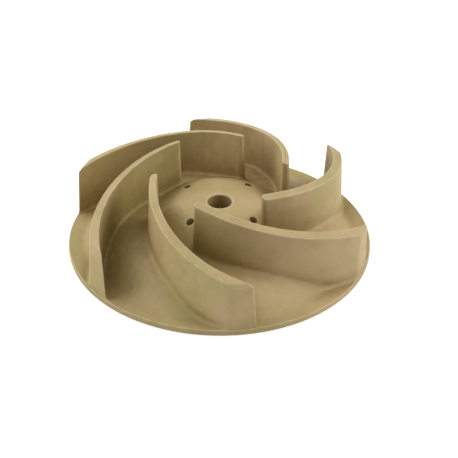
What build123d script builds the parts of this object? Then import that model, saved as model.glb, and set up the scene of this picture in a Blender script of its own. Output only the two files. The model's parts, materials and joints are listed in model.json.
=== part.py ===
from build123d import *
from math import acos, degrees, hypot
import os

os.makedirs("parts", exist_ok=True)

# Semi-open centrifugal pump impeller, moulded in one piece.
# Frame: bore axis on Z, back face of the disc on Z = 0, vanes on the +Z side.
# All sizes in millimetres, all angles in degrees.

# Disc and its rim
disc_diameter = 125.0
rim_thickness = 2.5
rim_edge_radius = 0.3

# Front of the disc: a low dome that carries the hub in its middle
rim_width = 7.2             # flat front of the rim, out from the foot of the dome
dome_foot_blend = 5.0
dome_side_width = 11.8      # steeper side of the dome, from its foot in to its brow
brow_height = 9.4           # above the front of the rim
brow_blend = 25.0
hub_foot_radius = 28.1      # where the hub meets the dome
hub_foot_height = 11.9      # above the front of the rim
hub_foot_blend = 8.0
hub_top_radius = 17.5       # flat top of the hub
hub_height = 18.4           # top of the hub above the front of the rim
hub_shoulder_blend = 12.0

# Hub bore and balance holes
bore_diameter = 10.0
bore_chamfer = 0.3
balance_hole_count = 4
balance_hole_diameter = 3.3
balance_hole_circle = 36.4
balance_hole_angle = 48.7   # first hole, from +X

# Vanes: the mid-line of each is one circular arc from the eye to the rim
vane_count = 6
vane_arc_radius = 53.6
vane_arc_gap = 24.8         # between the bore axis and the full circle of the arc
vane_arc_angle = 158.2      # polar angle of the first arc's centre
vane_nose_inset = 2.4       # middle of the rounded nose, further out than that circle's gap
vane_tip_inset = 0.35       # outer end of the vane inside the rim
vane_foot_thickness = 5.4   # at the front of the rim
vane_draft = 2.0            # on each side wall
vane_inlet_height = 34.3    # top edge at the nose, above the front of the rim
vane_outlet_height = 20.8   # top edge at the tip, above the front of the rim
vane_corner_chamfer = 1.0   # outer top corner
vane_edge_radius = 0.4
vane_foot_fillet = 1.5

# Cored back: an even wall under the dome, and a sleeve that carries the bore
wall_thickness = 4.0        # along the bore axis
sleeve_diameter = 22.0
core_corner_radius = 3.0

disc_radius = disc_diameter / 2
dome_radius = disc_radius - rim_width
brow_radius = dome_radius - dome_side_width
tip_radius = disc_radius - vane_tip_inset
nose_radius = vane_arc_gap + vane_nose_inset
vane_arc_offset = vane_arc_radius - vane_arc_gap
cut_margin = 5.0            # how far a cutting shape reaches past what it cuts
tip_margin = 0.1            # keeps an edge on the tip circle apart from the edges inside it


def front_profile(drop):
    """Corners of the disc's front, from the axis to the foot of the dome, lowered by drop."""
    rim_front = rim_thickness - drop
    hub_centre = (0, rim_front + hub_height)
    hub_shoulder = (hub_top_radius, rim_front + hub_height)
    hub_foot = (hub_foot_radius, rim_front + hub_foot_height)
    brow = (brow_radius, rim_front + brow_height)
    dome_foot = (dome_radius, rim_front)
    return hub_centre, hub_shoulder, hub_foot, brow, dome_foot


def corner(sketch, point):
    """The vertex of a sketch that lies at this point."""
    return min(sketch.vertices(), key=lambda v: hypot(v.X - point[0], v.Y - point[1]))


def angle_on_arc(radius):
    """Where the first vane's mid-line is this far from the bore axis, as an angle about its centre."""
    side, reach = vane_arc_offset, vane_arc_radius
    cosine = (side**2 + reach**2 - radius**2) / (2 * side * reach)
    return vane_arc_angle + 180 + degrees(acos(cosine))


nose_angle = angle_on_arc(nose_radius)
tip_angle = angle_on_arc(tip_radius + vane_foot_thickness)
first_arc_centre = Vector(vane_arc_offset, 0).rotate(Axis.Z, vane_arc_angle)
top_slope = (vane_inlet_height - vane_outlet_height) / (tip_radius - nose_radius)
tip_top = rim_thickness + vane_outlet_height
axis_top = tip_top + top_slope * tip_radius

with BuildPart() as vane:
    # Blank, drafted from the foot up
    with BuildSketch(Plane.XY.offset(rim_thickness / 2)):
        SlotArc(
            CenterArc(first_arc_centre, vane_arc_radius, nose_angle, tip_angle - nose_angle),
            vane_foot_thickness,
        )
    extrude(amount=vane_inlet_height + cut_margin, taper=vane_draft)

    # Trimmed to the tip circle and to the sloping top, by a turned shape whose seam is behind the axis
    with BuildSketch(Plane.XZ.rotated((0, 0, vane_arc_angle))) as vane_limit:
        with BuildLine():
            Polyline((0, 0), (tip_radius, 0), (tip_radius, tip_top), (0, axis_top), close=True)
        make_face()
        chamfer(corner(vane_limit, (tip_radius, tip_top)), vane_corner_chamfer)
    revolve(axis=Axis.Z, mode=Mode.INTERSECT)
    cut_edges = vane.edges(Select.NEW)
    fillet(cut_edges.filter_by(lambda e: e.center().Z > rim_thickness), vane_edge_radius)

with BuildPart() as impeller:
    with PolarLocations(0, vane_count):
        add(vane.part)

    # Disc with its dome and hub
    with BuildSketch(Plane.XZ) as disc_section:
        hub_centre, hub_shoulder, hub_foot, brow, dome_foot = front_profile(drop=0)
        rim_front = (disc_radius, rim_thickness)
        rim_back = (disc_radius, 0)
        with BuildLine():
            Polyline(
                *(hub_centre, hub_shoulder, hub_foot, brow, dome_foot),
                *(rim_front, rim_back, (0, 0)),
                close=True,
            )
        make_face()
        fillet(corner(disc_section, hub_shoulder), hub_shoulder_blend)
        fillet(corner(disc_section, hub_foot), hub_foot_blend)
        fillet(corner(disc_section, brow), brow_blend)
        fillet(corner(disc_section, dome_foot), dome_foot_blend)
        fillet(corner(disc_section, rim_front), rim_edge_radius)
        fillet(corner(disc_section, rim_back), rim_edge_radius)
    revolve(axis=Axis.Z)
    foot_edges = impeller.edges(Select.NEW)
    foot_edges = foot_edges.filter_by(lambda e: hypot(e.center().X, e.center().Y) < tip_radius - tip_margin)
    fillet(foot_edges, vane_foot_fillet)

    # Core in the back of the disc, around the sleeve
    with BuildSketch(Plane.XZ) as core_section:
        hub_centre, hub_shoulder, hub_foot, brow, dome_foot = front_profile(drop=wall_thickness)
        sleeve_top = (sleeve_diameter / 2, hub_centre[1])
        sleeve_end = (sleeve_diameter / 2, -cut_margin)
        with BuildLine():
            Polyline(
                *(sleeve_top, hub_shoulder, hub_foot, brow, dome_foot),
                *((dome_radius, -cut_margin), sleeve_end),
                close=True,
            )
        make_face()
        fillet(corner(core_section, sleeve_top), core_corner_radius)
        fillet(corner(core_section, hub_shoulder), core_corner_radius)
        fillet(corner(core_section, hub_foot), hub_foot_blend)
        fillet(corner(core_section, brow), brow_blend)
    revolve(axis=Axis.Z, mode=Mode.SUBTRACT)

    # Bore and balance holes
    with Locations((0, 0, rim_thickness + hub_height)):
        Hole(bore_diameter / 2)
    chamfer(impeller.edges(Select.LAST).filter_by(GeomType.CIRCLE), bore_chamfer)
    with PolarLocations(balance_hole_circle / 2, balance_hole_count, balance_hole_angle):
        Hole(balance_hole_diameter / 2)

impeller.part.label = "impeller"
export_step(impeller.part, "parts/impeller.step")
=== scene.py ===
import json
from math import acos, ceil, cos, hypot, pi, radians, sin, tan, tau

import bmesh
import bpy
from bpy.props import FloatProperty, FloatVectorProperty, IntProperty, PointerProperty
from mathutils import Matrix, Vector
from mathutils.bvhtree import BVHTree
from mathutils.geometry import delaunay_2d_cdt
from mathutils.kdtree import KDTree


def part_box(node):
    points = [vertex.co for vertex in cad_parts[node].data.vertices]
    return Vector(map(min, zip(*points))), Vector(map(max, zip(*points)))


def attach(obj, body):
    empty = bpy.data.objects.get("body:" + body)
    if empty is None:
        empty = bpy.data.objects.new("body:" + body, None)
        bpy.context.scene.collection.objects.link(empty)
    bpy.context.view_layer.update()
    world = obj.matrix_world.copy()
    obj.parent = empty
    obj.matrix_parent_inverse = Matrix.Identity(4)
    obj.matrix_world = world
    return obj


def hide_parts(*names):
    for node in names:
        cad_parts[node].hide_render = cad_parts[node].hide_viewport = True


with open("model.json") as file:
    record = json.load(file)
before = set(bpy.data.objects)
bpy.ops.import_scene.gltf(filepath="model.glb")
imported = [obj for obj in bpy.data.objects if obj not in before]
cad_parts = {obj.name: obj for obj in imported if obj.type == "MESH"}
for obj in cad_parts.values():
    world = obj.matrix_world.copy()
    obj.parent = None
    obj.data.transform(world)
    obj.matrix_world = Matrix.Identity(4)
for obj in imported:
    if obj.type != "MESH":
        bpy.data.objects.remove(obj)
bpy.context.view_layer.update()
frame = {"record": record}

bl_info = {
    "name": "Pump Impeller",
    "version": (1, 0, 0),
    "blender": (4, 5, 0),
    "location": "3D View > Sidebar > Impeller",
    "description": "Builds a moulded semi-open pump impeller, its finish and a studio",
    "category": "Object",
}

MM = 0.001

# Facts of the frame
CAD_NODE = "impeller"
CAD_DIAMETER = 2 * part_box(CAD_NODE)[1].x
BORE = next(mount for mount in frame["record"]["mounts"] if mount["name"] == "bore")

# Names that the operators share
FRONT_GUIDE = "disc_front_guide"
VANES = "vanes"
MOULDING = "impeller_moulding"
PLASTIC = "moulded_plastic"
EDGE_WEAR = "edge_wear"
FOOT_SHADE = "root_grime"
SHELTER = "shelter"

# Fineness of the meshes
RIM_SEGMENTS = 240
BORE_SEGMENTS = 96
BALANCE_HOLE_SEGMENTS = 32
FACE_SPACING = 1.0 * MM
CORNER_STEP = radians(12)
HOLE_ROUNDING_STEPS = 3
LEAST_BLEND_STEPS = 3
LEAST_RING_POINTS = 24
LEAST_RING_GAP = 0.3                # both as shares of the face spacing
LEAST_POINT_GAP = 0.45
FILL_TOLERANCE = 1e-5               # in millimetres
WELD_DISTANCE = 0.004 * MM
SHARP_ANGLE = radians(35)
CORE_SEAM_RADIUS = 30.0 * MM        # between the turned part of the core and its filled ceiling
SLEEVE_SEAM_RADIUS = 14.2 * MM      # between that ceiling and the turned sleeve

# Steps of a vane's grid, from the nose to the tip and from the foot to the middle of the top
NOSE_STEPS, BODY_STEPS, CHAMFER_STEPS, CORNER_STEPS, END_STEPS = 9, 52, 3, 4, 3
FOOT_STEPS, WALL_STEPS, EDGE_STEPS, TOP_STEPS = 6, 12, 4, 3

# Masks of the finish: rubbed edges, and painted shade along the vane feet and in closed-in places
SHARPNESS_UNRUBBED = 0.25 / MM      # radians per metre at which rubbing starts
SHARPNESS_RANGE = 1.5 / MM
FOOT_SHADE_WIDTH = 6.0 * MM
SHELTER_RAYS = 48
SHELTER_REACH = 45.0 * MM
SHELTER_START = 0.1 * MM
SHELTER_LEAST_FACING = 0.1
GOLDEN_ANGLE = radians(137.508)

# Patterns of the finish, in features per metre
CAST_SCALE = 28.0
STAIN_SCALE = 95.0
WAVE_SCALE = 160.0
MOTTLE_SCALE = 260.0
GRAIN_SCALE = 2600.0

# Stage
FLOOR_SIZE = 3.0
FLOOR_DROP = 0.2 * MM
LAMP_SIZE = 0.5
LAMP_DISTANCE = 0.8
LAMPS = {  # azimuth from the camera's side and elevation, in degrees
    "left_lamp": (-90, 35),
    "right_lamp": (90, 35),
    "rear_lamp": (-135, 40),
    "front_lamp": (45, 35),
    "top_lamp": (0, 85),
}
SENSOR_WIDTH = 36.0
NEAR_CLIP = 0.01
WHITE = (1.0, 1.0, 1.0, 1.0)
CAMERA_SHIFT = (0.0207, 0.0194)


class DiscSizes(bpy.types.PropertyGroup):
    """Sizes of the turned part of the impeller: the disc, its dome, the hub and the core in its back."""

    diameter: FloatProperty(
        name="Diameter", description="Outside of the rim", default=CAD_DIAMETER, unit="LENGTH")
    rim_thickness: FloatProperty(
        name="Rim thickness", description="Thickness of the flat rim", default=2.5 * MM, unit="LENGTH")
    rim_edge_radius: FloatProperty(
        name="Rim edge radius", description="Rounding of the rim, the core's edge and the sleeve's end",
        default=0.3 * MM, unit="LENGTH")
    rim_width: FloatProperty(
        name="Rim width", description="Flat front of the rim, out from the foot of the dome",
        default=7.2 * MM, unit="LENGTH")
    dome_foot_blend: FloatProperty(
        name="Dome foot blend", description="Blend between the rim and the dome",
        default=5.0 * MM, unit="LENGTH")
    dome_side_width: FloatProperty(
        name="Dome side width", description="Steeper side of the dome, from its foot in to its brow",
        default=11.8 * MM, unit="LENGTH")
    brow_height: FloatProperty(
        name="Brow height", description="Brow of the dome above the rim",
        default=9.4 * MM, unit="LENGTH")
    brow_blend: FloatProperty(
        name="Brow blend", description="Blend over the brow", default=25.0 * MM, unit="LENGTH")
    hub_foot_radius: FloatProperty(
        name="Hub foot radius", description="Where the hub meets the dome",
        default=28.1 * MM, unit="LENGTH")
    hub_foot_height: FloatProperty(
        name="Hub foot height", description="Foot of the hub above the rim",
        default=11.9 * MM, unit="LENGTH")
    hub_foot_blend: FloatProperty(
        name="Hub foot blend", description="Blend between the dome and the hub",
        default=8.0 * MM, unit="LENGTH")
    hub_top_radius: FloatProperty(
        name="Hub top radius", description="Flat top of the hub", default=17.5 * MM, unit="LENGTH")
    hub_height: FloatProperty(
        name="Hub height", description="Top of the hub above the rim",
        default=18.4 * MM, unit="LENGTH")
    hub_shoulder_blend: FloatProperty(
        name="Hub shoulder blend", description="Blend around the hub's top",
        default=12.0 * MM, unit="LENGTH")
    wall: FloatProperty(
        name="Wall", description="Wall under the dome, along the axis", default=4.0 * MM, unit="LENGTH")
    sleeve_radius: FloatProperty(
        name="Sleeve radius", description="Outside of the sleeve around the bore",
        default=11.0 * MM, unit="LENGTH")
    core_corner_radius: FloatProperty(
        name="Core corner radius", description="Rounding in the upper corners of the core",
        default=3.0 * MM, unit="LENGTH")
    bore_radius: FloatProperty(
        name="Bore radius", description="Radius of the bore",
        default=BORE["dims"]["r_mm"] * MM, unit="LENGTH")
    bore_chamfer: FloatProperty(
        name="Bore chamfer", description="Chamfer at both ends of the bore",
        default=0.3 * MM, unit="LENGTH")
    hole_radius: FloatProperty(
        name="Balance hole radius", description="Radius of each balance hole",
        default=1.65 * MM, unit="LENGTH")
    hole_rounding: FloatProperty(
        name="Balance hole rounding", description="Rounding at both ends of a balance hole",
        default=0.25 * MM, unit="LENGTH")
    hole_circle: FloatProperty(
        name="Balance hole circle", description="Radius of the circle of balance holes",
        default=18.2 * MM, unit="LENGTH")
    hole_angle: FloatProperty(
        name="Balance hole angle", description="Angle of the first balance hole from +X",
        default=radians(48.7), subtype="ANGLE")
    hole_count: IntProperty(name="Balance holes", description="How many balance holes", default=4, min=0)


class VaneSizes(bpy.types.PropertyGroup):
    """Sizes of the vanes. The mid-line of each is one circular arc."""

    count: IntProperty(name="Vanes", description="How many vanes", default=6, min=1)
    arc_radius: FloatProperty(
        name="Arc radius", description="Radius of a vane's mid-line", default=53.6 * MM, unit="LENGTH")
    arc_gap: FloatProperty(
        name="Arc gap", description="Between the bore axis and the full circle of the arc",
        default=24.8 * MM, unit="LENGTH")
    arc_angle: FloatProperty(
        name="Arc angle", description="Polar angle of the first arc's centre",
        default=radians(158.2), subtype="ANGLE")
    nose_inset: FloatProperty(
        name="Nose inset", description="Middle of the rounded nose, further out than the arc's gap",
        default=2.4 * MM, unit="LENGTH")
    tip_inset: FloatProperty(
        name="Tip inset", description="Outer end of a vane inside the rim",
        default=0.35 * MM, unit="LENGTH")
    foot_thickness: FloatProperty(
        name="Foot thickness", description="Thickness of a vane at the rim's front",
        default=5.4 * MM, unit="LENGTH")
    draft: FloatProperty(
        name="Draft", description="Lean of each side wall", default=radians(2.0), subtype="ANGLE")
    inlet_height: FloatProperty(
        name="Inlet height", description="Top edge at the nose, above the rim",
        default=34.3 * MM, unit="LENGTH")
    outlet_height: FloatProperty(
        name="Outlet height", description="Top edge at the tip, above the rim",
        default=20.8 * MM, unit="LENGTH")
    corner_chamfer: FloatProperty(
        name="Corner chamfer", description="Cut on the outer top corner", default=1.0 * MM, unit="LENGTH")
    edge_radius: FloatProperty(
        name="Edge radius", description="Rounding of the edges", default=0.4 * MM, unit="LENGTH")
    foot_fillet: FloatProperty(
        name="Foot fillet", description="Fillet between a vane and the disc",
        default=1.5 * MM, unit="LENGTH")


class PlasticFinish(bpy.types.PropertyGroup):
    """Colours and surface of the moulded plastic, one of the colours also used for painted shade."""

    base: FloatVectorProperty(
        name="Base", description="Colour of the plastic", default=(0.54, 0.405, 0.205),
        subtype="COLOR", min=0, max=1)
    warm: FloatVectorProperty(
        name="Warm cast", description="Colour of its warmer patches", default=(0.60, 0.42, 0.245),
        subtype="COLOR", min=0, max=1)
    green: FloatVectorProperty(
        name="Green cast", description="Colour of its greener patches", default=(0.46, 0.375, 0.155),
        subtype="COLOR", min=0, max=1)
    rubbed: FloatVectorProperty(
        name="Rubbed edges", description="Colour of edges that are rubbed pale",
        default=(0.66, 0.56, 0.38), subtype="COLOR", min=0, max=1)
    # Dark brown of the stains and grain pits, also used for the painted shade in the corners and channels
    stain_and_shade: FloatVectorProperty(
        name="Grime", description="Colour of the film that stays in the corners",
        default=(0.235, 0.155, 0.040), subtype="COLOR", min=0, max=1)
    wave_depth: FloatProperty(
        name="Wave depth", description="Depth of the slow waves in the surface",
        default=0.25 * MM, unit="LENGTH")
    grain_depth: FloatProperty(
        name="Grain depth", description="Depth of the eroded grain", default=0.05 * MM, unit="LENGTH")


class StageLook(bpy.types.PropertyGroup):
    """Floor, lamps and the place of the camera."""

    floor: FloatVectorProperty(
        name="Floor", description="Colour of the floor", default=(0.93, 0.93, 0.93),
        subtype="COLOR", min=0, max=1)
    floor_glow: FloatProperty(
        name="Floor glow", description="How much brighter the camera sees the floor than it is lit",
        default=0.5, min=0)
    world_strength: FloatProperty(
        name="Room light", description="Strength of the even light from all sides", default=0.29, min=0)
    left_lamp: FloatProperty(
        name="Left lamp", description="Power of the large lamp on the left", default=2.5, unit="POWER")
    right_lamp: FloatProperty(
        name="Right lamp", description="Power of the large lamp on the right", default=3.3, unit="POWER")
    rear_lamp: FloatProperty(
        name="Rear lamp", description="Power of the large lamp at the back", default=1.6, unit="POWER")
    front_lamp: FloatProperty(
        name="Front lamp", description="Power of the large lamp at the front", default=0.2, unit="POWER")
    top_lamp: FloatProperty(
        name="Top lamp", description="Power of the large lamp overhead", default=0.6, unit="POWER")
    camera_distance: FloatProperty(
        name="Camera distance", description="From the middle of the rim's front",
        default=0.72125, unit="LENGTH")
    camera_elevation: FloatProperty(
        name="Camera elevation", description="Height of the camera as an angle",
        default=radians(35.09), subtype="ANGLE")
    camera_roll: FloatProperty(
        name="Camera roll", description="Turn of the camera about its view",
        default=radians(0.36), subtype="ANGLE")
    focal_length: FloatProperty(
        name="Focal length", description="Focal length in millimetres", default=136.27)


# ---------------------------------------------------------------- outlines

def blended_outline(corners):
    """Points of an outline whose corners are (radius, height, blend radius), with each blend as an arc."""
    points = []
    for index, (x, y, blend) in enumerate(corners):
        here = Vector((x, y))
        if not blend:
            points.append(here)
            continue
        back = (Vector(corners[index - 1][:2]) - here).normalized()
        ahead = (Vector(corners[index + 1][:2]) - here).normalized()
        half_angle = back.angle(ahead) / 2
        tangent = blend / tan(half_angle)
        centre = here + (back + ahead).normalized() * blend / sin(half_angle)
        start = here + back * tangent - centre
        end = here + ahead * tangent - centre
        turn = start.angle_signed(end)
        steps = max(LEAST_BLEND_STEPS, ceil(abs(turn) / CORNER_STEP))
        for step in range(steps + 1):
            points.append(centre + Matrix.Rotation(-turn * step / steps, 2) @ start)
    return points


def divided(points, spacing):
    """The same outline with no stretch longer than spacing."""
    fine = [points[0]]
    for a, b in zip(points, points[1:]):
        pieces = max(1, ceil((b - a).length / spacing))
        fine += [a.lerp(b, piece / pieces) for piece in range(1, pieces + 1)]
    return fine


def front_corners(sizes):
    """Corners of the disc's front from the axis to the foot of the dome."""
    rim = sizes.rim_thickness
    dome_radius = sizes.diameter / 2 - sizes.rim_width
    return [
        (0, rim + sizes.hub_height, 0),
        (sizes.hub_top_radius, rim + sizes.hub_height, sizes.hub_shoulder_blend),
        (sizes.hub_foot_radius, rim + sizes.hub_foot_height, sizes.hub_foot_blend),
        (dome_radius - sizes.dome_side_width, rim + sizes.brow_height, sizes.brow_blend),
        (dome_radius, rim, sizes.dome_foot_blend),
    ]


def core_corners(sizes):
    """Corners of the core in the back, from the end of the sleeve to a point below the back face."""
    (_, hub_top, _), shoulder, hub_foot, brow, dome_foot = front_corners(sizes)
    wall = sizes.wall
    return [
        (sizes.sleeve_radius, 0, 0),
        (sizes.sleeve_radius, hub_top - wall, sizes.core_corner_radius),
        (shoulder[0], shoulder[1] - wall, sizes.core_corner_radius),
        (hub_foot[0], hub_foot[1] - wall, hub_foot[2]),
        (brow[0], brow[1] - wall, brow[2]),
        (dome_foot[0], dome_foot[1] - wall, 0),
    ]


def rim_and_core_outline(sizes, core_outline):
    """Outline from the front of the rim, around its edge and the back, up into the core."""
    outside, edge = sizes.diameter / 2, sizes.rim_edge_radius
    brow, below_back = core_corners(sizes)[-2:]
    core_edge = below_back[0] + below_back[1] * (below_back[0] - brow[0]) / (brow[1] - below_back[1])
    rim = blended_outline([
        (outside - 2 * edge, sizes.rim_thickness, 0),
        (outside, sizes.rim_thickness, edge),
        (outside, 0, edge),
        (core_edge, 0, edge),
        (*brow[:2], 0),
    ])[1:-1]
    core = [point for point in reversed(core_outline) if CORE_SEAM_RADIUS < point.x < rim[-1].x]
    seam = Vector((CORE_SEAM_RADIUS, height_on(core_outline, CORE_SEAM_RADIUS)))
    return [*rim, *core, seam]


def sleeve_and_bore_outline(sizes):
    """Outline from the core's ceiling, down around the sleeve and up through the bore to the hub's top."""
    hub_top = sizes.rim_thickness + sizes.hub_height
    ceiling = hub_top - sizes.wall
    bore, chamfer = sizes.bore_radius, sizes.bore_chamfer
    return blended_outline([
        (SLEEVE_SEAM_RADIUS, ceiling, 0),
        (sizes.sleeve_radius, ceiling, sizes.core_corner_radius),
        (sizes.sleeve_radius, 0, sizes.rim_edge_radius),
        (bore + chamfer, 0, 0),
        (bore, chamfer, 0),
        (bore, hub_top - chamfer, 0),
        (bore + chamfer, hub_top, 0),
    ])


def height_on(outline, radius):
    """Height of an outline at this radius."""
    for a, b in zip(outline, outline[1:]):
        if min(a.x, b.x) <= radius <= max(a.x, b.x) and a.x != b.x:
            return a.y + (b.y - a.y) * (radius - a.x) / (b.x - a.x)
    return outline[-1].y


def ring(bm, radius, height, segments):
    """One ring of vertices about the axis."""
    return [
        bm.verts.new((radius * cos(tau * k / segments), radius * sin(tau * k / segments), height))
        for k in range(segments)
    ]


def turned(bm, outline, segments):
    """Faces of an outline turned about the axis. Gives back the first and the last ring."""
    rings = [ring(bm, point.x, point.y, segments) for point in outline]
    for lower, upper in zip(rings, rings[1:]):
        for k in range(segments):
            following = (k + 1) % segments
            bm.faces.new((lower[k], lower[following], upper[following], upper[k]))
    return rings[0], rings[-1]


# ---------------------------------------------------------------- vanes as geometry nodes

class Field:
    """One output of a node tree, with arithmetic that adds the nodes for it."""

    def __init__(self, tree, socket):
        self.tree = tree
        self.socket = socket

    def math(self, operation, *others):
        node = self.tree.nodes.new("ShaderNodeMath")
        node.operation = operation
        self.tree.links.new(self.socket, node.inputs[0])
        for slot, other in enumerate(others, start=1):
            connect(self.tree, other, node.inputs[slot])
        return Field(self.tree, node.outputs[0])

    def __add__(self, other):
        return self.math("ADD", other)

    def __sub__(self, other):
        return self.math("SUBTRACT", other)

    def __mul__(self, other):
        return self.math("MULTIPLY", other)

    def __truediv__(self, other):
        return self.math("DIVIDE", other)

    def lowest(self, other):
        return self.math("MINIMUM", other)

    def highest(self, other):
        return self.math("MAXIMUM", other)

    def clamped(self):
        return self.highest(0.0).lowest(1.0)

    def sine(self):
        return self.math("SINE")

    def cosine(self):
        return self.math("COSINE")

    def mirrored(self):
        """One minus this."""
        return self * -1.0 + 1.0


def connect(tree, source, socket):
    """Feeds a socket from a field, another socket or a plain value."""
    if isinstance(source, Field):
        source = source.socket
    if isinstance(source, bpy.types.NodeSocket):
        tree.links.new(source, socket)
    else:
        socket.default_value = source


def node_of(tree, kind, settings=None, **inputs):
    """A new node with these settings and inputs. An input's name has _ for a space."""
    node = tree.nodes.new(kind)
    for key, value in (settings or {}).items():
        setattr(node, key, value)
    for key, source in inputs.items():
        connect(tree, source, node.inputs[key.replace("_", " ")])
    return node


def steps_of(field, first, count):
    """How far a row or column is through the group of count steps that begins at first, 0 to 1."""
    return ((field - float(first)) / float(count)).clamped()


def vane_tree(material):
    """Node tree that builds the vanes on the front of a disc, each as a bent and thickened grid."""
    tree = bpy.data.node_groups.new("vanes_on_disc", "GeometryNodeTree")
    tree.interface.new_socket("Geometry", in_out="INPUT", socket_type="NodeSocketGeometry")
    tree.interface.new_socket("Disc", in_out="INPUT", socket_type="NodeSocketObject")
    tree.interface.new_socket("Count", in_out="INPUT", socket_type="NodeSocketInt")
    sizes = (
        "Arc Radius", "Arc Offset", "Arc Angle", "Nose Angle", "Tip Radius", "Foot Half Thickness",
        "Draft Slope", "Draft Height", "Axis Top", "Top Slope", "Corner Chamfer", "Edge Radius",
        "Foot Fillet",
    )
    for name in sizes:
        tree.interface.new_socket(name, in_out="INPUT", socket_type="NodeSocketFloat")
    tree.interface.new_socket("Geometry", in_out="OUTPUT", socket_type="NodeSocketGeometry")
    inputs = tree.nodes.new("NodeGroupInput")
    value = {name: Field(tree, inputs.outputs[name]) for name in sizes}
    arc_radius, offset = value["Arc Radius"], value["Arc Offset"]
    arc_angle, nose_angle = value["Arc Angle"], value["Nose Angle"]
    tip, top_slope, chamfer = value["Tip Radius"], value["Top Slope"], value["Corner Chamfer"]
    edge, fillet = value["Edge Radius"], value["Foot Fillet"]

    # A grid: columns run from the nose to the tip, rows run up one side, over the top and down the other
    columns = NOSE_STEPS + BODY_STEPS + CHAMFER_STEPS + CORNER_STEPS + END_STEPS
    half_rows = FOOT_STEPS + WALL_STEPS + EDGE_STEPS + TOP_STEPS
    grid = node_of(tree, "GeometryNodeMeshGrid", Size_X=1.0, Size_Y=1.0,
                   Vertices_X=columns + 1, Vertices_Y=2 * half_rows + 1)
    position = node_of(tree, "GeometryNodeInputPosition").outputs[0]
    place = node_of(tree, "ShaderNodeSeparateXYZ", Vector=position)
    column = ((Field(tree, place.outputs[0]) + 0.5) * float(columns)).math("ROUND")
    signed_row = ((Field(tree, place.outputs[1]) * 2.0) * float(half_rows)).math("ROUND")
    side = signed_row.math("SIGN")
    row = signed_row.math("ABSOLUTE") * -1.0 + float(half_rows)

    # Along the vane
    quarter_turn = pi / 2
    nose_turn = steps_of(column, 0, NOSE_STEPS).mirrored() * quarter_turn
    along = steps_of(column, NOSE_STEPS, BODY_STEPS)
    chamfer_start = NOSE_STEPS + BODY_STEPS
    past_body = steps_of(column, chamfer_start, CHAMFER_STEPS)
    corner_start = chamfer_start + CHAMFER_STEPS
    corner_turn = steps_of(column, corner_start, CORNER_STEPS) * quarter_turn
    closing_end = steps_of(column, corner_start + CORNER_STEPS, END_STEPS).mirrored()
    reach = (tip - chamfer) + past_body * (chamfer - edge) + corner_turn.sine() * edge

    # Up the vane
    foot_turn = steps_of(row, 0, FOOT_STEPS) * quarter_turn
    rise = steps_of(row, FOOT_STEPS, WALL_STEPS)
    rise = rise * rise * (rise * -2.0 + 3.0)
    edge_start = FOOT_STEPS + WALL_STEPS
    edge_turn = steps_of(row, edge_start, EDGE_STEPS) * quarter_turn
    closing_top = steps_of(row, edge_start + EDGE_STEPS, TOP_STEPS).mirrored()
    foot_out = foot_turn.sine().mirrored() * fillet
    foot_up = foot_turn.cosine().mirrored() * fillet
    edge_in = (edge_turn.cosine().mirrored() + corner_turn.cosine().mirrored()) * edge
    edge_up = edge_turn.sine() * edge
    full_width = value["Foot Half Thickness"] + foot_out - edge_in

    def place_at(width):
        """Where a grid point goes across the disc, when the vane is this wide each side of its mid-line."""
        arc = arc_radius + side * width * nose_turn.cosine()
        cosine = (offset * offset + arc * arc - reach * reach) / (offset * arc * 2.0)
        end_angle = cosine.math("ARCCOSINE")
        angle = arc_angle + pi + nose_angle + along * (end_angle - nose_angle)
        ahead = width * nose_turn.sine()
        x = arc_angle.cosine() * offset + arc * angle.cosine() + ahead * angle.sine()
        y = arc_angle.sine() * offset + arc * angle.sine() - ahead * angle.cosine()
        return x, y

    def disc_height(x, y):
        """Height of the disc's front below a point."""
        high = node_of(tree, "ShaderNodeCombineXYZ", X=x, Y=y, Z=1.0)
        hit = node_of(tree, "GeometryNodeRaycast", Target_Geometry=disc.outputs["Geometry"],
                      Source_Position=high.outputs[0], Ray_Direction=(0.0, 0.0, -1.0), Ray_Length=2.0)
        landing = node_of(tree, "ShaderNodeSeparateXYZ", Vector=hit.outputs["Hit Position"])
        return Field(tree, landing.outputs[2])

    def height_at(x, y):
        """Height of the vane's own point there."""
        radius = (x * x + y * y).math("SQRT")
        cone = value["Axis Top"] - top_slope * radius
        tip_top = value["Axis Top"] - top_slope * tip
        cut = tip_top - chamfer + (tip - radius) * (top_slope + 1.0)
        base = disc_height(x, y)
        full_rise = cone.lowest(cut) - base - fillet - edge
        return base + foot_up + rise * full_rise + edge_up

    # Placed once without its draft, and then with the draft that belongs to that height
    disc = node_of(tree, "GeometryNodeObjectInfo", {"transform_space": "ORIGINAL"},
                   Object=inputs.outputs["Disc"])
    upright_height = height_at(*place_at(full_width))
    lean = (upright_height - value["Draft Height"]) * value["Draft Slope"]
    x, y = place_at((full_width - lean) * closing_top.lowest(closing_end))
    target = node_of(tree, "ShaderNodeCombineXYZ", X=x, Y=y, Z=height_at(x, y))
    bent = node_of(tree, "GeometryNodeSetPosition", Geometry=grid.outputs["Mesh"],
                   Position=target.outputs[0])
    closed = node_of(tree, "GeometryNodeMergeByDistance", Geometry=bent.outputs[0],
                     Distance=WELD_DISTANCE)

    # The vane repeated about the axis
    count = inputs.outputs["Count"]
    points = node_of(tree, "GeometryNodePoints", Count=count, Position=(0.0, 0.0, 0.0))
    number = Field(tree, node_of(tree, "GeometryNodeInputIndex").outputs[0])
    pitch = Field(tree, count).math("POWER", -1.0) * tau
    turn = node_of(tree, "ShaderNodeCombineXYZ", Z=number * pitch)
    copies = node_of(tree, "GeometryNodeInstanceOnPoints", Points=points.outputs[0],
                     Instance=closed.outputs[0], Rotation=turn.outputs[0])
    real = node_of(tree, "GeometryNodeRealizeInstances", Geometry=copies.outputs[0])
    finished = node_of(tree, "GeometryNodeSetMaterial", Geometry=real.outputs[0], Material=material)
    output = tree.nodes.new("NodeGroupOutput")
    tree.links.new(finished.outputs[0], output.inputs[0])
    return tree


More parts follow.
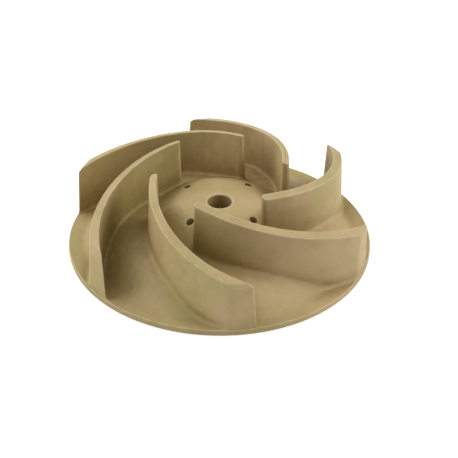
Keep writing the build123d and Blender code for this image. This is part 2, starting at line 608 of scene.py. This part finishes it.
def vane_values(disc, sizes):
    """The node tree's inputs for these sizes."""
    reach = sizes.arc_radius
    offset = reach - sizes.arc_gap
    nose_radius = sizes.arc_gap + sizes.nose_inset
    tip_radius = disc.diameter / 2 - sizes.tip_inset
    top_slope = (sizes.inlet_height - sizes.outlet_height) / (tip_radius - nose_radius)
    tip_top = disc.rim_thickness + sizes.outlet_height
    return {
        "Arc Radius": reach,
        "Arc Offset": offset,
        "Arc Angle": sizes.arc_angle,
        "Nose Angle": acos((offset**2 + reach**2 - nose_radius**2) / (2 * offset * reach)),
        "Tip Radius": tip_radius,
        "Foot Half Thickness": sizes.foot_thickness / 2,
        "Draft Slope": tan(sizes.draft),
        "Draft Height": disc.rim_thickness / 2,
        "Axis Top": tip_top + top_slope * tip_radius,
        "Top Slope": top_slope,
        "Corner Chamfer": sizes.corner_chamfer,
        "Edge Radius": sizes.edge_radius,
        "Foot Fillet": sizes.foot_fillet,
    }


def disc_front_guide(sizes):
    """A plain turned mesh of the disc's front, for the vanes to stand on while they are built."""
    rim_front = (sizes.diameter / 2, sizes.rim_thickness, 0)
    outline = divided(blended_outline([*front_corners(sizes), rim_front])[1:], FACE_SPACING)
    bm = bmesh.new()
    turned(bm, outline, RIM_SEGMENTS)
    mesh = bpy.data.meshes.new(FRONT_GUIDE)
    bm.to_mesh(mesh)
    bm.free()
    return new_object(FRONT_GUIDE, mesh)


def set_inputs(modifier, values):
    """Sets the inputs of a Geometry Nodes modifier by their sockets' identifiers."""
    sockets = modifier.node_group.interface.items_tree
    identifiers = {item.name: item.identifier for item in sockets if item.in_out == "INPUT"}
    for name, value in values.items():
        modifier[identifiers[name]] = value


# ---------------------------------------------------------------- mesh building

def new_object(name, mesh):
    """A new object of this mesh in the scene."""
    made = bpy.data.objects.new(name, mesh)
    bpy.context.scene.collection.objects.link(made)
    return made


def circle_points(x, y, radius, segments):
    """Points of a circle across the disc."""
    return [
        (x + radius * cos(tau * k / segments), y + radius * sin(tau * k / segments))
        for k in range(segments)
    ]


def vane_foot_loops(bm):
    """The closed foot line of each vane, as lists of vertices in order."""
    open_edges = dict.fromkeys(edge for edge in bm.edges if edge.is_boundary)
    loops = []
    while open_edges:
        edge = next(iter(open_edges))
        del open_edges[edge]
        loop = [edge.verts[0], edge.verts[1]]
        while True:
            following = next((e for e in loop[-1].link_edges if e in open_edges), None)
            if following is None:
                break
            del open_edges[following]
            loop.append(following.other_vert(loop[-1]))
        if loop[0] is loop[-1]:
            loop.pop()
        loops.append(loop)
    return loops


def inside(point, polygon):
    """Whether a flat point is inside a polygon of flat points."""
    x, y = point
    crossed = False
    for (ax, ay), (bx, by) in zip(polygon, polygon[1:] + polygon[:1]):
        if (ay > y) != (by > y) and x < ax + (y - ay) * (bx - ax) / (by - ay):
            crossed = not crossed
    return crossed


def ring_radii(outline, inner, outer):
    """Radii of the rings of points that fill a face, closer together where its outline bends."""
    least = LEAST_RING_GAP * FACE_SPACING
    radii = sorted({point.x for point in divided(outline, FACE_SPACING) if inner < point.x < outer})
    kept = []
    for radius in radii:
        last = kept[-1] if kept else inner
        if radius - last > least and outer - radius > least:
            kept.append(radius)
    return kept


def filling_points(outline, inner, outer, fixed, holes):
    """Flat points that fill a face of the disc, clear of its fixed vertices and outside its holes."""
    tree = KDTree(len(fixed))
    for index, vert in enumerate(fixed):
        tree.insert((vert.co.x, vert.co.y, 0), index)
    tree.balance()
    clearance = LEAST_POINT_GAP * FACE_SPACING
    points = []
    for number, radius in enumerate(ring_radii(outline, inner, outer)):
        count = max(LEAST_RING_POINTS, round(tau * radius / FACE_SPACING))
        for k in range(count):
            angle = tau * (k + 0.5 * (number % 2)) / count
            x, y = radius * cos(angle), radius * sin(angle)
            if tree.find((x, y, 0))[2] > clearance and not any(inside((x, y), hole) for hole in holes):
                points.append((x, y))
    return points


def fill_face(bm, outline, inner_ring, outer_ring, openings, upwards):
    """Fills a face of the disc between two rings, around openings given as loops of vertices."""
    inner = hypot(inner_ring[0].co.x, inner_ring[0].co.y)
    outer = hypot(outer_ring[0].co.x, outer_ring[0].co.y)
    fixed, edges = [], []
    for loop in [inner_ring, outer_ring, *openings]:
        first = len(fixed)
        fixed += loop
        edges += [(first + k, first + (k + 1) % len(loop)) for k in range(len(loop))]
    holes = [[(vert.co.x, vert.co.y) for vert in loop] for loop in openings]
    flat = [(vert.co.x, vert.co.y) for vert in fixed]
    flat += filling_points(outline, inner, outer, fixed, holes)
    in_millimetres = [Vector((x / MM, y / MM)) for x, y in flat]
    result = delaunay_2d_cdt(in_millimetres, edges, [], 0, FILL_TOLERANCE)
    points, triangles, sources = result[0], result[2], result[3]
    verts = []
    for point, source in zip(points, sources):
        known = next((index for index in source if index < len(fixed)), None)
        if known is None:
            x, y = point.x * MM, point.y * MM
            verts.append(bm.verts.new((x, y, height_on(outline, hypot(x, y)))))
        else:
            verts.append(fixed[known])
    for triangle in triangles:
        centre = sum((points[index] for index in triangle), Vector((0, 0))) * MM / 3
        if not inner < centre.length < outer or any(inside(centre, hole) for hole in holes):
            continue
        corners = [verts[index] for index in triangle]
        if not upwards:
            corners.reverse()
        if len(set(corners)) == 3 and not bm.faces.get(corners):
            bm.faces.new(corners)


def hole_wall(bm, sizes, front, back, angle):
    """Wall of one balance hole with rounded ends. Gives back its loops in the front and the back face."""
    x, y = sizes.hole_circle * cos(angle), sizes.hole_circle * sin(angle)
    ends = []
    for outline, way in ((front, -1), (back, 1)):
        loops = []
        for step in range(HOLE_ROUNDING_STEPS + 1):
            turn = pi / 2 * step / HOLE_ROUNDING_STEPS
            radius = sizes.hole_radius + sizes.hole_rounding * (1 - sin(turn))
            inwards = way * sizes.hole_rounding * (1 - cos(turn))
            loops.append([
                bm.verts.new((px, py, height_on(outline, hypot(px, py)) + inwards))
                for px, py in circle_points(x, y, radius, BALANCE_HOLE_SEGMENTS)
            ])
        ends.append(loops)
    order = [*ends[0], *reversed(ends[1])]
    for upper, lower in zip(order, order[1:]):
        for k in range(BALANCE_HOLE_SEGMENTS):
            following = (k + 1) % BALANCE_HOLE_SEGMENTS
            bm.faces.new((upper[k], upper[following], lower[following], lower[k]))
    return ends[0][0], ends[1][0]


def build_disc(bm, sizes, vane_loops):
    """Adds the disc, its core and its sleeve around the feet of the vanes."""
    rim_front = (sizes.diameter / 2, sizes.rim_thickness, 0)
    front = blended_outline([*front_corners(sizes), rim_front])
    core = blended_outline(core_corners(sizes))
    rim_and_core = divided(rim_and_core_outline(sizes, core), FACE_SPACING)
    front_outer, core_outer = turned(bm, rim_and_core, RIM_SEGMENTS)
    sleeve_and_bore = divided(sleeve_and_bore_outline(sizes), FACE_SPACING)
    core_inner, front_inner = turned(bm, sleeve_and_bore, BORE_SEGMENTS)
    holes = [
        hole_wall(bm, sizes, front, core, sizes.hole_angle + tau * k / sizes.hole_count)
        for k in range(sizes.hole_count)
    ]
    front_openings = vane_loops + [hole[0] for hole in holes]
    fill_face(bm, front, front_inner, front_outer, front_openings, upwards=True)
    fill_face(bm, core, core_inner, core_outer, [hole[1] for hole in holes], upwards=False)


# ---------------------------------------------------------------- masks of the finish

def convexity(vert):
    """How sharply the surface bends outwards at a vertex, in radians per metre."""
    bends = []
    for edge in vert.link_edges:
        if len(edge.link_faces) == 2:
            one, other = edge.link_faces
            apart = (one.calc_center_median() - other.calc_center_median()).length
            if apart > 0:
                bends.append(edge.calc_face_angle_signed(0.0) / apart)
    return max(bends, default=0.0)


def sphere_directions(count):
    """This many directions spread evenly over a sphere."""
    directions = []
    for k in range(count):
        height = 1 - 2 * (k + 0.5) / count
        reach = (1 - height * height) ** 0.5
        turn = k * GOLDEN_ANGLE
        directions.append(Vector((reach * cos(turn), reach * sin(turn), height)))
    return directions


def sheltered(bm):
    """How closed in each vertex is by nearby surfaces, 0 to 1, as a list in the order of the vertices."""
    surface = BVHTree.FromBMesh(bm)
    directions = sphere_directions(SHELTER_RAYS)
    shares = []
    for vert in bm.verts:
        start = vert.co + vert.normal * SHELTER_START
        blocked = total = 0.0
        for direction in directions:
            facing = direction.dot(vert.normal)
            if facing > SHELTER_LEAST_FACING:
                total += facing
                distance = surface.ray_cast(start, direction, SHELTER_REACH)[3]
                if distance is not None:
                    blocked += facing * (1 - distance / SHELTER_REACH)
        shares.append(blocked / total)
    return shares


def rubbed(bm):
    """How much each vertex is rubbed by being on a sharp outer edge, 0 to 1."""
    return [
        min(1.0, max(0.0, (convexity(vert) - SHARPNESS_UNRUBBED) / SHARPNESS_RANGE))
        for vert in bm.verts
    ]


def near_feet(bm, feet):
    """How near each vertex is to the foot of a vane, 0 to 1."""
    tree = KDTree(len(feet))
    for index, point in enumerate(feet):
        tree.insert(point, index)
    tree.balance()
    return [max(0.0, 1.0 - tree.find(vert.co)[2] / FOOT_SHADE_WIDTH) for vert in bm.verts]


def store_masks(bm, mesh, feet):
    """Writes the masks of the finish as attributes of the finished mesh: the rubbed edges, and the painted
    shade along the vane feet and in closed-in places.
    """
    bm.normal_update()
    masks = ((EDGE_WEAR, rubbed(bm)), (FOOT_SHADE, near_feet(bm, feet)), (SHELTER, sheltered(bm)))
    for name, values in masks:
        mesh.attributes.new(name, "FLOAT", "POINT").data.foreach_set("value", values)


# ---------------------------------------------------------------- finish

def shader_node(tree, kind, settings=None, values=None, **links):
    """A new shader node with these settings, socket values and links. A link's name has _ for a space."""
    node = tree.nodes.new(kind)
    for key, value in (settings or {}).items():
        setattr(node, key, value)
    for key, value in (values or {}).items():
        node.inputs[key].default_value = value
    for key, source in links.items():
        tree.links.new(source, node.inputs[key.replace("_", " ")])
    return node


def noise(tree, coordinates, scale, detail=3.0, roughness=0.5):
    """Noise over the object, its scale in features per metre."""
    return shader_node(
        tree, "ShaderNodeTexNoise", values={"Scale": scale, "Detail": detail, "Roughness": roughness},
        Vector=coordinates,
    ).outputs[0]


def stretched(tree, value, low, high, to_low=0.0, to_high=1.0):
    """The value with its range from low to high stretched to another, and held at the ends."""
    return shader_node(
        tree, "ShaderNodeMapRange",
        values={"From Min": low, "From Max": high, "To Min": to_low, "To Max": to_high}, Value=value,
    ).outputs[0]


def times(tree, value, other):
    """Product of two values, the second of them a socket or a number."""
    if isinstance(other, bpy.types.NodeSocket):
        node = shader_node(tree, "ShaderNodeMath", {"operation": "MULTIPLY"})
        tree.links.new(other, node.inputs[1])
    else:
        node = shader_node(tree, "ShaderNodeMath", {"operation": "MULTIPLY"}, {1: other})
    tree.links.new(value, node.inputs[0])
    return node.outputs[0]


def backdrop_rays(tree):
    """1 for what the camera, a gloss or clear glass sees, and 0 for light that falls on the impeller."""
    path = shader_node(tree, "ShaderNodeLightPath")
    seen = path.outputs["Is Camera Ray"]
    for kind in ("Is Glossy Ray", "Is Transmission Ray"):
        either = shader_node(tree, "ShaderNodeMath", {"operation": "MAXIMUM"})
        tree.links.new(seen, either.inputs[0])
        tree.links.new(path.outputs[kind], either.inputs[1])
        seen = either.outputs[0]
    return seen


def mixed(tree, factor, one, other):
    """Mix of two colours, each a socket or a plain colour."""
    node = shader_node(tree, "ShaderNodeMix", {"data_type": "RGBA"})
    tree.links.new(factor, node.inputs[0])
    for index, colour in ((6, one), (7, other)):
        if isinstance(colour, bpy.types.NodeSocket):
            tree.links.new(colour, node.inputs[index])
        else:
            node.inputs[index].default_value = (*colour, 1.0)
    return node.outputs[2]


def plastic_material(look):
    """Matte moulded plastic with uneven colour, a fine grain, rubbed edges and painted shade in its corners
    and closed-in channels.
    """
    material = bpy.data.materials.new(PLASTIC)
    material.use_nodes = True
    tree = material.node_tree
    surface = tree.nodes["Principled BSDF"]
    place = shader_node(tree, "ShaderNodeTexCoord").outputs["Object"]
    wear, stain_and_shade, shelter = (
        shader_node(tree, "ShaderNodeAttribute", {"attribute_name": name}).outputs["Fac"]
        for name in (EDGE_WEAR, FOOT_SHADE, SHELTER)
    )
    casts = noise(tree, place, CAST_SCALE, 2.0)
    mottling = noise(tree, place, MOTTLE_SCALE, 5.0, 0.6)
    grain = noise(tree, place, GRAIN_SCALE, 3.0, 0.6)
    stains = noise(tree, place, STAIN_SCALE, 4.0, 0.6)

    # Colour of the plastic itself: broad casts, mottling, and darker pits of the grain
    colour = mixed(tree, stretched(tree, casts, 0.38, 0.62), look.green, look.base)
    colour = mixed(tree, stretched(tree, mottling, 0.5, 0.75, 0.0, 0.7), colour, look.warm)
    colour = mixed(tree, stretched(tree, grain, 0.35, 0.65, 0.10, 0.0), colour, look.stain_and_shade)

    # Stains, painted shade where the channels are closed in and at the feet of the vanes, and pale rubbed
    # edges
    colour = mixed(tree, stretched(tree, stains, 0.48, 0.70, 0.0, 0.22), colour, look.stain_and_shade)
    uneven = stretched(tree, mottling, 0.3, 0.6, 0.7, 1.0)
    # Painted shade where nearby surfaces close the channels in, by the shelter mask and broken up by the
    # mottling
    channel_shade = times(tree, stretched(tree, shelter, 0.14, 0.46, 0.0, 0.72), uneven)
    colour = mixed(tree, channel_shade, colour, look.stain_and_shade)
    patchy = stretched(tree, mottling, 0.35, 0.6, 0.6, 1.0)
    # Painted shade along the feet of the vanes, in the dark stain colour and broken up by the mottling
    shade = times(tree, stretched(tree, stain_and_shade, 0.0, 1.0, 0.0, 0.30), patchy)
    colour = mixed(tree, shade, colour, look.stain_and_shade)
    rub = times(tree, wear, stretched(tree, mottling, 0.38, 0.62, 0.25, 0.8))
    colour = mixed(tree, rub, colour, look.rubbed)
    tree.links.new(colour, surface.inputs["Base Color"])

    # Surface: an eroded grain over slow waves
    roughness = stretched(tree, mottling, 0.35, 0.65, 0.52, 0.70)
    tree.links.new(roughness, surface.inputs["Roughness"])
    surface.inputs["Specular IOR Level"].default_value = 0.35
    waves = shader_node(
        tree, "ShaderNodeBump", values={"Strength": 0.35, "Distance": look.wave_depth},
        Height=noise(tree, place, WAVE_SCALE, 2.0),
    )
    eroded = shader_node(
        tree, "ShaderNodeBump", values={"Strength": 0.5, "Distance": look.grain_depth},
        Height=grain, Normal=waves.outputs[0],
    )
    tree.links.new(eroded.outputs[0], surface.inputs["Normal"])
    return material


# ---------------------------------------------------------------- stage

def add_floor(look):
    """A floor that keeps the shadow and is white to the camera beyond it."""
    bm = bmesh.new()
    lowered = Matrix.Translation((0, 0, -FLOOR_DROP))
    bmesh.ops.create_grid(bm, x_segments=1, y_segments=1, size=FLOOR_SIZE, matrix=lowered)
    mesh = bpy.data.meshes.new("floor")
    bm.to_mesh(mesh)
    bm.free()
    floor = new_object("floor", mesh)
    paper = bpy.data.materials.new("white_paper")
    paper.use_nodes = True
    tree = paper.node_tree
    surface = tree.nodes["Principled BSDF"]
    surface.inputs["Base Color"].default_value = (*look.floor, 1.0)
    surface.inputs["Roughness"].default_value = 0.9
    surface.inputs["Specular IOR Level"].default_value = 0.1
    surface.inputs["Emission Color"].default_value = WHITE
    glow = times(tree, backdrop_rays(tree), look.floor_glow)
    tree.links.new(glow, surface.inputs["Emission Strength"])
    mesh.materials.append(paper)


def light_room(scene, look):
    """Even light from all sides, in a room that the camera sees as white."""
    world = bpy.data.worlds.new("room")
    scene.world = world
    world.use_nodes = True
    tree = world.node_tree
    tree.nodes.clear()
    room = shader_node(
        tree, "ShaderNodeBackground", values={"Color": WHITE, "Strength": look.world_strength})
    white = shader_node(tree, "ShaderNodeBackground", values={"Color": WHITE, "Strength": 1.0})
    choice = shader_node(tree, "ShaderNodeMixShader", Fac=backdrop_rays(tree))
    tree.links.new(room.outputs[0], choice.inputs[1])
    tree.links.new(white.outputs[0], choice.inputs[2])
    output = shader_node(tree, "ShaderNodeOutputWorld")
    tree.links.new(choice.outputs[0], output.inputs[0])


def hang_lamps(scene, look):
    """Large round lamps around the impeller, all turned to it."""
    for name, (azimuth, elevation) in LAMPS.items():
        data = bpy.data.lights.new(name, "AREA")
        data.shape = "DISK"
        data.size = LAMP_SIZE
        data.energy = getattr(look, name)
        lamp = bpy.data.objects.new(name, data)
        scene.collection.objects.link(lamp)
        side, rise = radians(azimuth), radians(elevation)
        towards = Vector((cos(rise) * sin(side), -cos(rise) * cos(side), sin(rise)))
        lamp.location = towards * LAMP_DISTANCE
        lamp.rotation_euler = towards.to_track_quat("Z", "Y").to_euler()


def set_camera(scene, look):
    """The camera, turned to the middle of the rim's front."""
    data = bpy.data.cameras.new("camera")
    data.lens = look.focal_length
    data.sensor_width = SENSOR_WIDTH
    data.shift_x, data.shift_y = CAMERA_SHIFT
    data.clip_start = NEAR_CLIP
    camera = bpy.data.objects.new("camera", data)
    scene.collection.objects.link(camera)
    aim = Vector((0, 0, scene.impeller_disc.rim_thickness))
    away = Vector((0, -cos(look.camera_elevation), sin(look.camera_elevation)))
    camera.location = aim + away * look.camera_distance
    facing = away.to_track_quat("Z", "Y").to_matrix()
    camera.rotation_euler = (facing @ Matrix.Rotation(look.camera_roll, 3, "Z")).to_euler()
    scene.camera = camera


# ---------------------------------------------------------------- operators

class IMPELLER_OT_finish(bpy.types.Operator):
    """Make the moulded plastic"""

    bl_idname = "impeller.finish"
    bl_label = "Plastic finish"

    def execute(self, context):
        plastic_material(context.scene.impeller_plastic)
        return {"FINISHED"}


class IMPELLER_OT_vanes(bpy.types.Operator):
    """Build the vanes by Geometry Nodes, with their feet on the front of the disc"""

    bl_idname = "impeller.vanes"
    bl_label = "Vanes"

    def execute(self, context):
        disc, sizes = context.scene.impeller_disc, context.scene.impeller_vanes
        guide = disc_front_guide(disc)
        vanes = new_object(VANES, bpy.data.meshes.new(VANES))
        modifier = vanes.modifiers.new(VANES, "NODES")
        modifier.node_group = vane_tree(bpy.data.materials[PLASTIC])
        set_inputs(modifier, {"Disc": guide, "Count": sizes.count, **vane_values(disc, sizes)})
        evaluated = vanes.evaluated_get(context.evaluated_depsgraph_get())
        mesh = bpy.data.meshes.new_from_object(evaluated)
        vanes.modifiers.remove(modifier)
        vanes.data = mesh
        bpy.data.objects.remove(guide)
        if not mesh.polygons:
            raise RuntimeError("the vanes came out empty")
        return {"FINISHED"}


class IMPELLER_OT_moulding(bpy.types.Operator):
    """Build the disc around the feet of the vanes and join them to one closed moulding"""

    bl_idname = "impeller.moulding"
    bl_label = "Moulding"

    def execute(self, context):
        vanes = bpy.data.objects[VANES]
        bm = bmesh.new()
        bm.from_mesh(vanes.data)
        bpy.data.objects.remove(vanes)
        vane_loops = vane_foot_loops(bm)
        feet = [vert.co.copy() for loop in vane_loops for vert in loop]
        build_disc(bm, context.scene.impeller_disc, vane_loops)
        bmesh.ops.remove_doubles(bm, verts=bm.verts, dist=WELD_DISTANCE)
        bmesh.ops.recalc_face_normals(bm, faces=bm.faces)
        gaps = sum(not edge.is_manifold for edge in bm.edges)
        if gaps:
            raise RuntimeError(f"the moulding has {gaps} open edges")
        for face in bm.faces:
            face.smooth = True
        for edge in bm.edges:
            edge.smooth = edge.calc_face_angle(0.0) < SHARP_ANGLE
        mesh = bpy.data.meshes.new(MOULDING)
        bm.to_mesh(mesh)
        store_masks(bm, mesh, feet)
        bm.free()
        mesh.materials.append(bpy.data.materials[PLASTIC])
        moulding = new_object(MOULDING, mesh)
        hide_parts(CAD_NODE)
        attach(moulding, "root")
        return {"FINISHED"}


class IMPELLER_OT_stage(bpy.types.Operator):
    """Set the floor, the lamps and the camera"""

    bl_idname = "impeller.stage"
    bl_label = "Stage"

    def execute(self, context):
        scene = context.scene
        look = scene.impeller_stage
        scene.view_settings.view_transform = "Standard"
        add_floor(look)
        light_room(scene, look)
        hang_lamps(scene, look)
        set_camera(scene, look)
        return {"FINISHED"}


class IMPELLER_PT_sidebar(bpy.types.Panel):
    """The impeller's operators and sizes in the sidebar"""

    bl_idname = "IMPELLER_PT_sidebar"
    bl_label = "Pump Impeller"
    bl_space_type = "VIEW_3D"
    bl_region_type = "UI"
    bl_category = "Impeller"

    def draw(self, context):
        for operator in OPERATORS:
            self.layout.operator(operator.bl_idname)
        for name in GROUPS:
            box = self.layout.box()
            group = getattr(context.scene, name)
            for key in group.__annotations__:
                box.prop(group, key)


OPERATORS = (IMPELLER_OT_finish, IMPELLER_OT_vanes, IMPELLER_OT_moulding, IMPELLER_OT_stage)
GROUPS = {
    "impeller_disc": DiscSizes,
    "impeller_vanes": VaneSizes,
    "impeller_plastic": PlasticFinish,
    "impeller_stage": StageLook,
}


def register():
    for cls in (*GROUPS.values(), *OPERATORS, IMPELLER_PT_sidebar):
        bpy.utils.register_class(cls)
    for name, cls in GROUPS.items():
        setattr(bpy.types.Scene, name, PointerProperty(type=cls))


def unregister():
    for name in GROUPS:
        delattr(bpy.types.Scene, name)
    for cls in (IMPELLER_PT_sidebar, *reversed(OPERATORS), *GROUPS.values()):
        bpy.utils.unregister_class(cls)


def main():
    """Builds the impeller and its stage."""
    register()
    bpy.ops.impeller.finish()
    bpy.ops.impeller.vanes()
    bpy.ops.impeller.moulding()
    bpy.ops.impeller.stage()


if __name__ == "__main__":
    main()
